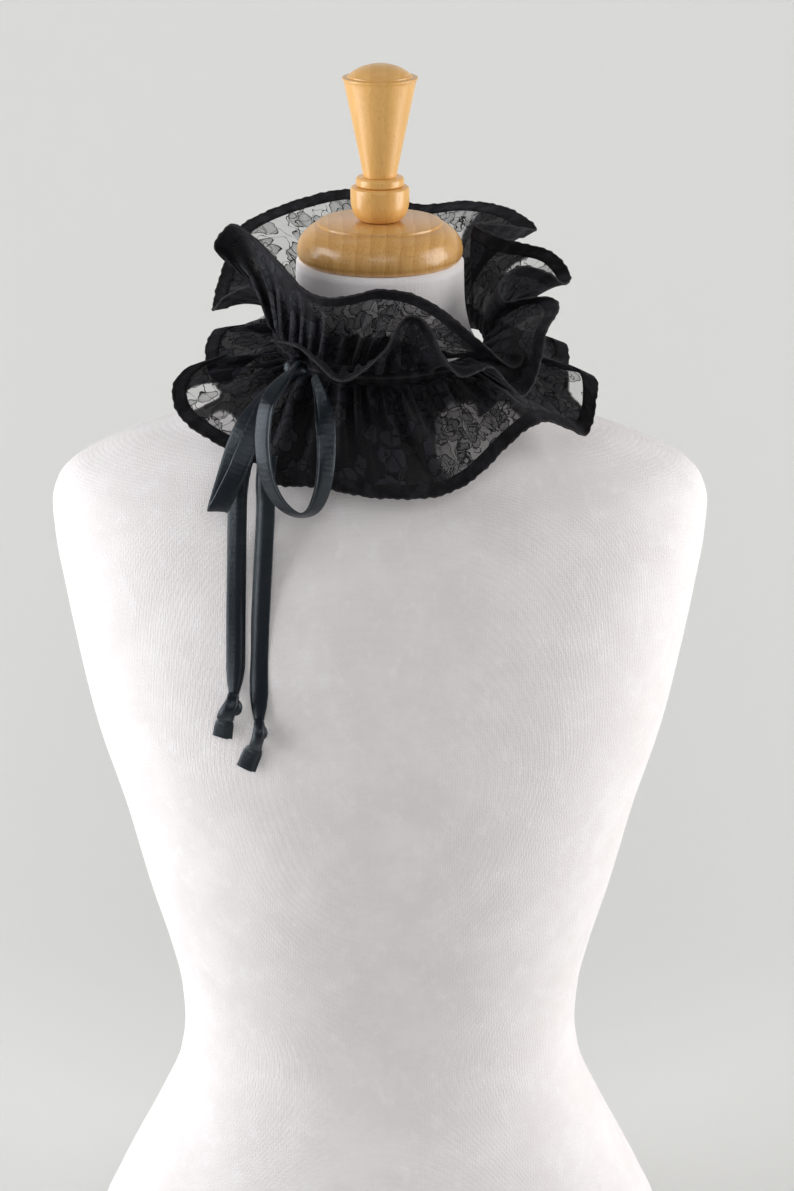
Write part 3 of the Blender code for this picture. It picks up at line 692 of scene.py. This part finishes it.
GATHERS = 46          # tucks in one full turn of the casing
GATHER_DEPTH = 3.0    # how far a tuck stands out by the casing
GATHER_LEAN = 1.3     # how far its sides lean over each other
RIPPLE_DEPTH = 1.3    # slack waves in the middle of the frill
MOST_PLIES = 5.0
TUCKED_MORE = 1.06    # flat cloth to each millimetre of the frill's depth
LOWER_PATTERN_START = 90.0    # where on the flat strip the lower frill's pattern starts
# Larger creases: casing turn, turn it drifts by the hem, half width in turn, height. One of the
# other sign beside it gives a crease a shaded side.
UPPER_CREASES = [(-24, 6, 2.6, 3.2), (-8, -4, 2.2, -2.6), (30, 8, 3.0, 3.0), (330, -6, 2.4, 2.6),
                 (349, 7, 2.2, 3.0), (96, -4, 4.0, 3.0), (126, 5, 4.0, -3.0), (172, 8, 3.6, 2.6),
                 (222, -6, 4.4, -2.8), (262, 5, 3.2, 3.0)]
LOWER_CREASES = [(-26, -7, 2.4, 3.4), (-11, 4, 2.0, -2.8), (4, 9, 2.2, 4.6), (8, 10, 2.2, -3.2),
                 (30, 9, 2.6, 3.0), (52, 6, 2.6, 3.4), (96, -4, 3.6, 3.0), (140, 6, 4.0, -3.0),
                 (204, -5, 3.8, 3.2), (252, 6, 3.4, 2.8), (300, -4, 2.4, 3.0)]
# Where the strip lies fewest thick: casing turn, its half width, share of the depth, its half
# width, plies there.
UPPER_THIN = [(206, 26, 0.66, 0.62, 1.0), (155, 10, 0.66, 0.40, 1.2), (99, 5, 0.86, 0.26, 1.0),
              (345, 28, 0.78, 0.36, 2.1), (10, 10, 0.6, 0.3, 2.6)]
LOWER_THIN = [(26, 10, 0.78, 0.44, 1.9), (38, 7, 0.84, 0.20, 2.2), (307, 3.6, 0.86, 0.15, 1.0),
              (317, 5, 0.95, 0.16, 1.9), (67, 3.4, 0.94, 0.12, 1.0), (118, 12, 0.7, 0.4, 1.5),
              (176, 14, 0.66, 0.4, 1.6), (238, 12, 0.72, 0.4, 1.4)]


def plies_at(turns, shares, thin):
    """How many thicknesses lie at each point: the most, lowered smoothly in each listed place."""
    plies = np.full(np.broadcast(turns, shares).shape, MOST_PLIES)
    for turn, half_turn, share, half_share, least in thin:
        turn_off = (turns - turn) / half_turn + 0.14 * np.sin(9 * shares + turn)
        share_off = (shares - share) / half_share
        off = (turn_off ** 4 + share_off ** 4) ** 0.25
        ease = np.clip((off - 0.88) / 0.16, 0, 1)
        plies = np.minimum(plies, least + (MOST_PLIES - least) * ease * ease * (3 - 2 * ease))
    return plies


def lace_sheet(name, folds, side, node, thin, creases, columns=1400, rows=34):
    arcs = [(k / (rows - 1), HEM_WIDTH - HEM_LAP) for k in range(rows)]
    grid, depths, hem, hem_length = frill_grid(folds, side, columns, arcs)
    normal = surface_normals(grid)
    along = unit(np.gradient(grid, axis=0))
    share = np.linspace(0, 1, rows)[None, :]
    turn = np.radians(hem[:, 3][:, None])
    phase = GATHERS * turn + 1.1 * np.sin(7 * turn + 0.4) + 0.8 * np.sin(11 * turn + 2.0)
    strength = 1 + 0.35 * np.sin(5 * turn + side) + 0.25 * np.sin(17 * turn)
    fade = (1 - share) ** 1.3 * np.minimum(1, share * 8) * strength
    ripple = np.sin(0.5 * phase + 0.6 * side) * np.sin(math.pi * share) ** 1.2 * strength
    lift = GATHER_DEPTH * np.cos(phase) * fade + RIPPLE_DEPTH * ripple
    for at, drift, half_width, height in creases:
        off = (hem[:, 3][:, None] - at - drift * share) / half_width
        lift = lift + height * np.exp(-off * off) * np.sin(math.pi * share * 0.95) ** 0.8
    grid = grid + normal * lift[:, :, None]
    grid = grid + along * (GATHER_LEAN * np.sin(2 * phase) * fade)[:, :, None]
    metres = np.linspace(0, hem_length, columns)[:, None] * np.ones((1, rows))
    down = depths * TUCKED_MORE + (0 if side > 0 else LOWER_PATTERN_START)
    uvs = np.stack([metres * MM, down * MM], axis=2).reshape(-1, 2)
    obj = add_mesh(name, grid.reshape(-1, 3), grid_faces(columns, rows), lace, uvs, (node,))
    plies = obj.data.attributes.new("plies", "FLOAT", "POINT")
    plies.data.foreach_set("value", plies_at(hem[:, 3][:, None], share, thin).ravel())
    cut = (round(float(np.median(depths[:, -1])) * MM, 3), round(hem_length * MM, 3))
    print(name, "cut", cut, "m, area", round(sum(p.area for p in obj.data.polygons), 4), "m2")
    return obj, cut


upper, upper_cut = lace_sheet("lace_frill_upper", UPPER_FOLDS, 1, "frill_upper", UPPER_THIN, UPPER_CREASES)
lower, lower_cut = lace_sheet("lace_frill_lower", LOWER_FOLDS, -1, "frill_lower", LOWER_THIN, LOWER_CREASES)

# %% [markdown]
# ## The hem bands
# The edge of the strip is turned over twice and stitched, so a band stands thicker and almost
# opaque round it, with a small rounded roll at the very edge that catches the light.

# %% Hem bands
# across the band, from its inner edge to the roll: distance back from the free edge, half thickness
HEM_PROFILE = [(HEM_WIDTH, 0.30), (HEM_WIDTH - 0.35, 0.62), (HEM_WIDTH * 0.7, 0.50), (HEM_WIDTH * 0.4, 0.46),
               (1.5, 0.44), (1.1, 0.52), (0.7, 0.66), (0.3, 0.62), (0.05, 0.36)]


def hem_band(name, folds, side, node, columns=1400):
    """A flat doubled band with a rounded, slightly rough roll along its free edge."""
    rolls, halves = [np.array(column) for column in zip(*HEM_PROFILE)]
    grid, _, _, hem_length = frill_grid(folds, side, columns, [(1.0, band) for band in rolls])
    normal = surface_normals(grid)
    outward = unit(grid[:, -1:] - grid[:, :1])
    run = np.linspace(0, hem_length, columns)
    rough = (0.22 * np.sin(run / 0.83) + 0.20 * np.sin(run / 1.31 + 1) + 0.18 * np.sin(run / 2.9 + 2)
             + 0.14 * np.sin(run / 7.1))
    near_edge = np.clip(1.5 - rolls, 0, 1.5) / 1.5
    grid = grid + outward * (rough[:, None] * near_edge)[:, :, None]
    half = halves[None, :] * (1 + 0.18 * np.sin(run / 1.7)[:, None])
    front, back = grid + normal * half[:, :, None], grid - normal * half[:, :, None]
    ring = np.concatenate([front, back[:, ::-1]], axis=1)
    count = ring.shape[1]
    across = np.tile(np.concatenate([rolls, rolls[::-1]]), (columns, 1))
    metres = run[:, None] * np.ones((1, count))
    uvs = np.stack([metres * MM, across * MM], axis=2).reshape(-1, 2)
    return add_mesh(name, ring.reshape(-1, 3), tube_faces(columns, count), hem_cloth, uvs, (node,))


hem_up = hem_band("hem_band_upper", UPPER_FOLDS, 1, "hem_upper")
hem_down = hem_band("hem_band_lower", LOWER_FOLDS, -1, "hem_lower")

# %% [markdown]
# ## The casing
# Two rows of stitching hold a channel for the drawstring. Pulled up, it puckers into small even
# tucks, so the band's radius and height ripple together all the way round.

# %% Casing band
PUCKER = 0.62             # how far each gather moves the casing in and out
CASING_HALF = 0.42 * CASING_DEPTH    # half of it as drawn, a little inside the solid
CASING_WEAVE = (0.0007, 0.0016)      # metres of cloth from one point to the next, along and round


def casing_mesh(stations=720, count=16):
    verts, uvs = [], []
    for i, turn in enumerate(np.linspace(TURN_START, TURN_END, stations)):
        a = math.radians(turn)
        outward = np.array([math.sin(a), -math.cos(a), 0.0])
        mid = casing_point(turn)
        pucker = PUCKER * math.cos(math.radians(turn) * GATHERS)
        for k in range(count):
            b = 2 * math.pi * k / count
            r = CASING_HALF * math.copysign(abs(math.cos(b)) ** 0.8, math.cos(b))
            h = CASING_HEIGHT * 0.5 * math.copysign(abs(math.sin(b)) ** 0.7, math.sin(b))
            verts.append(mid + outward * (r + pucker) + np.array([0, 0, h + 0.25 * pucker]))
            uvs.append((i * CASING_WEAVE[0], k * CASING_WEAVE[1]))
    add_mesh("gathered_casing", verts, tube_faces(stations, count), hem_cloth, uvs, ("casing",))


casing_mesh()

# %% [markdown]
# ## The satin drawstring
# The drawstring is a satin tape folded in half and stitched close to one edge. Swept along a smooth
# path, its cross-section has a soft fold on one side, a stitched groove near the other and a thin
# lip beyond it. The paths are the same as the solids', so the bow hangs where it was fitted.

# %% Satin material
satin, n, shader = new_material("black_satin", Roughness=0.30, Specular_IOR_Level=0.42, Sheen_Weight=0.05,
                                Sheen_Roughness=0.35, Sheen_Tint=(0.62, 0.76, 0.95, 1),
                                Specular_Tint=(0.78, 0.90, 1.0, 1), Anisotropic=0.4)
flat = n.add("ShaderNodeUVMap", uv_map="flat_cloth").outputs[0]
floats = use_group(n, THREADS, Place=n.vector("MULTIPLY", flat, (0.12, 1.0, 1.0)), Pitch=0.0004, Slub=0.6)
puckers = n.noise(n.vector("MULTIPLY", flat, (1.0, 0.25, 1.0)), 170.0, 2.0, 0.5)
tone = n.mix(floats["Fleck"], (0.003, 0.004, 0.006, 1), (0.009, 0.012, 0.016, 1))
height = n.plus(n.times(floats["Height"], 0.25), n.times(puckers, 1.6))
n.fill(shader, Base_Color=tone, Normal=n.bump(height, 0.35, 0.0006))
print("material", satin.name)

# %% Ribbon sweep
RIBBON_WIDTH = 11.4
STITCH_LENGTH = 2.2


def ribbon_frame(path, stations):
    line, length = smooth_curve(path, stations)
    centre, face, tip = line[:, :3], np.radians(line[:, 3]), np.radians(line[:, 4])
    tangent = unit(np.gradient(centre, axis=0))
    normal = np.column_stack([np.sin(face) * np.cos(tip), -np.cos(face) * np.cos(tip), np.sin(tip)])
    side = unit(np.cross(tangent, normal))
    return centre, side, np.cross(side, tangent), length


# across the tape, from the folded edge to the stitched lip: place, half thickness
TAPE = [(-0.50, 0.12), (-0.485, 0.40), (-0.44, 0.62), (-0.30, 0.70), (-0.05, 0.72), (0.18, 0.66),
        (0.30, 0.46), (0.345, 0.22), (0.37, 0.20), (0.40, 0.38), (0.45, 0.40), (0.485, 0.34), (0.50, 0.12)]
GROOVE = (0.33, 0.39)    # where across the tape the stitches lie


def tape_mesh(name, path, stations, node, flare, crease, flip):
    """A tape along a path; flare rows scale its width, and crease bends it lengthwise.

    crease is where the bend runs across the tape, then how far each side falls away, degrees.
    flip is -1 where the stitched lip lies left of the path, seen from the tape's face, and 1 where right."""
    centre, side, normal, length = ribbon_frame(path, stations)
    share = np.linspace(0, 1, stations)
    widths = RIBBON_WIDTH * np.interp(share, *zip(*flare))
    bend, left_fall, right_fall = crease[0], *np.tan(np.radians(crease[1:]))
    loop = TAPE + [(w, -h) for w, h in reversed(TAPE)]
    verts, uvs = [], []
    for i in range(stations):
        stitch = 0.4 * math.sin(share[i] * length / STITCH_LENGTH * 2 * math.pi)
        for w, h in loop:
            across = w * flip
            thick = h * (1 + (stitch if GROOVE[0] < w < GROOVE[1] else 0))
            fall = (across - bend) * left_fall if across > bend else (bend - across) * right_fall
            verts.append(centre[i] + side[i] * across * widths[i] + normal[i] * (thick - fall * widths[i]))
            uvs.append((share[i] * length * MM, w * RIBBON_WIDTH * MM))
    faces = tube_faces(stations, len(loop), flip=flip < 0)
    obj = add_mesh(name, verts, faces, satin, uvs, (node,))
    return obj, [tuple(c * MM) for c in centre], length * MM


# %% Ribbon routes: x, y, z, turn of the tape's face, its tip, degrees
LEFT_LOOP = [(-54, -75, 669, -20, 0), (-63, -87, 660, -22, 0), (-70, -97, 648, -20, 0),
             (-76, -104, 635, -14, 0), (-82, -109, 621, -10, 0), (-88, -111, 609, -8, 0),
             (-92.5, -111, 600, -8, -12), (-94.5, -108.5, 596.8, -10, -85), (-94, -105.5, 599, -12, -160),
             (-91.5, -103, 607, -14, -180), (-87.5, -100.5, 620, -18, -180), (-83.5, -97.5, 633, -26, -180),
             (-78, -92, 645, -34, -180), (-69, -83, 656, -40, -180), (-60, -75, 663, -36, -180)]
RIGHT_LOOP = [(-47, -76, 677, -30, 0), (-54, -90, 672, -34, 0), (-64, -103, 661, -36, 0),
              (-67, -110, 647, -36, 0), (-67, -113, 633, -36, -5), (-65, -114, 619, -36, -12),
              (-60, -115, 607, -34, -28), (-53, -115, 599, -24, -48), (-45, -115, 596, -2, -60),
              (-38, -115, 600, 18, -46), (-33, -114, 612, 26, -22), (-31, -112, 627, 22, -8),
              (-31, -106, 643, 12, 0), (-33, -96, 657, -4, 0), (-38, -80, 670, -24, 0)]
LEFT_TAIL = [(-75, -90, 638, -20, 0), (-80, -93, 622, -18, 0), (-83, -96, 606, -16, 0),
             (-84, -97, 588, -16, 0), (-84.5, -98, 566, -12, 0), (-85, -100, 540, -8, 0),
             (-85.5, -103.5, 516, -10, 0), (-86, -106, 499, -14, 0), (-87, -109.5, 482.5, -18, 0)]
RIGHT_TAIL = [(-65, -101, 628, -8, 0), (-67, -101, 612, -10, 0), (-67, -101, 596, -12, 0),
              (-68, -101, 577, -12, 0), (-69.5, -102, 552, -12, 0), (-71, -104, 526, -12, 0),
              (-72, -107, 500, -10, 0), (-72, -110, 483, -8, 0), (-72, -113.5, 467.5, -8, 0)]
LEFT_END = [(-91, -112, 467.4, 4, 0), (-92.5, -112, 462, 6, 0), (-93.5, -111.5, 455, 8, 0)]
RIGHT_END = [(-73.5, -115.5, 450.2, 6, 0), (-76.5, -115, 444, 8, 0), (-79.5, -115, 436, 10, 0)]

LOOP_FLARE = [(0, 0.45), (0.07, 0.72), (0.15, 1), (0.85, 1), (0.93, 0.75), (1, 0.5)]
TAIL_FLARE = [(0, 1), (0.9, 1), (0.95, 0.84), (0.985, 0.62), (1, 0.56)]
FLAG_FLARE = [(0, 0.66), (0.16, 0.86), (0.36, 0.98), (1, 1.02)]
FLAT = (0.0, 0.0, 0.0)
TAPES = {  # piece: route, stations, node, flare, crease, flip
    "bow_loop_left": (LEFT_LOOP, 220, "loop_left", LOOP_FLARE, FLAT, -1),
    "bow_loop_right": (RIGHT_LOOP, 240, "loop_right", LOOP_FLARE, FLAT, -1),
    "drawstring_tail_left": (LEFT_TAIL, 170, "tail_left", TAIL_FLARE, (-0.22, 10, 38), -1),
    "drawstring_tail_right": (RIGHT_TAIL, 180, "tail_right", TAIL_FLARE, (0.10, 26, 14), 1),
    "tail_flag_left": (LEFT_END, 30, "tail_end_left", FLAG_FLARE, (-0.15, 30, 12), -1),
    "tail_flag_right": (RIGHT_END, 30, "tail_end_right", FLAG_FLARE, (-0.12, 32, 14), -1),
}
tapes = {name: tape_mesh(name, *facts) for name, facts in TAPES.items()}
print("tapes, metres:", {name: round(length, 3) for name, (_, _, length) in tapes.items()})

# %% [markdown]
# ## Knots
# The tape's own knots are its own folds crossing. Each is made of short strands, thick in the middle
# and narrow at the ends: one carries the tape from the tail down to its free end, and one bulges out
# beside it where the tape turns back.

# %% Knots
# strands: x, y, z, half width across, half depth
KNOTS = {
    "bow_knot_wound": ("bow_knot", [
        [(-55.5, -69, 672.5, 2.6, 2.6), (-52.5, -69.8, 672, 4.4, 3.8), (-49, -70, 671, 5, 4.2),
         (-45.5, -69, 670.5, 4.2, 3.4), (-43, -67.5, 670.5, 2.6, 2.2)],
        [(-48, -66.5, 676.5, 2.6, 2), (-49, -70.5, 674, 4.4, 2.4), (-50.5, -71.5, 670, 4.8, 2.4),
         (-51.5, -69.5, 666, 3.2, 2)]]),
    "tail_knot_left_wound": ("tail_knot_left", [
        [(-87, -109.8, 484, 3.2, 1), (-87, -110.6, 481.5, 3.5, 1.9), (-87.6, -112.2, 478.4, 4.1, 2.9),
         (-89.4, -113.2, 474.4, 4.8, 3.3), (-91.2, -113, 470.6, 5.1, 2.5), (-92, -112.2, 467, 5.2, 1.1)],
        [(-85.4, -110.6, 479.4, 1.6, 1.6), (-84.6, -111.4, 476.6, 2.8, 3), (-84.8, -111.4, 473.6, 3, 3.2),
         (-86.6, -110.8, 471, 1.9, 2.2)]]),
    "tail_knot_right_wound": ("tail_knot_right", [
        [(-71.8, -113.6, 469, 2.8, 1), (-71.6, -114.6, 466.4, 3, 2.2), (-71.6, -117, 462, 3.7, 3.3),
         (-72.4, -117.6, 457.6, 3.8, 3.3), (-73.6, -116.8, 453.4, 3.9, 2.3), (-74.4, -115.8, 449.6, 4.1, 1)],
        [(-70.8, -114.6, 465.6, 1.4, 1.6), (-69.6, -115.2, 462.2, 2.4, 2.8), (-69.4, -115.2, 459.4, 2.6, 3),
         (-71.4, -114.8, 456, 1.8, 2.2)]]),
}


def wound_knot(name, node, strands, stations=40, count=20):
    """Strands of squeezed tape: rounded sections swept along short curves, with soft pleats in them."""
    verts, faces, uvs = [], [], []
    for strand, rows in enumerate(strands):
        line, length = smooth_curve(rows, stations)
        centre, half, depth = line[:, :3], line[:, 3], line[:, 4]
        tangent = unit(np.gradient(centre, axis=0))
        across = unit(np.cross(tangent, (0, -1.0, 0)))
        out = np.cross(across, tangent)
        faces += tube_faces(stations, count, start=len(verts))
        for i in range(stations):
            close = min(1.0, 0.78 + 4 * min(i, stations - 1 - i) / stations)
            for k in range(count):
                b = 2 * math.pi * k / count
                pleat = 1 + 0.10 * math.sin(3 * b + 5 * i / stations + 2 * strand)
                wide = half[i] * close * math.copysign(abs(math.cos(b)) ** 0.8, math.cos(b))
                deep = depth[i] * close * pleat * math.copysign(abs(math.sin(b)) ** 0.8, math.sin(b))
                verts.append(centre[i] + across[i] * wide + out[i] * deep)
                uvs.append((i / stations * length * MM, k / count * half[i] * 4 * MM))
    return add_mesh(name, verts, faces, satin, uvs, (node,))


knots = {name: wound_knot(name, *facts) for name, facts in KNOTS.items()}

# %% End of the scene
print("scene built")
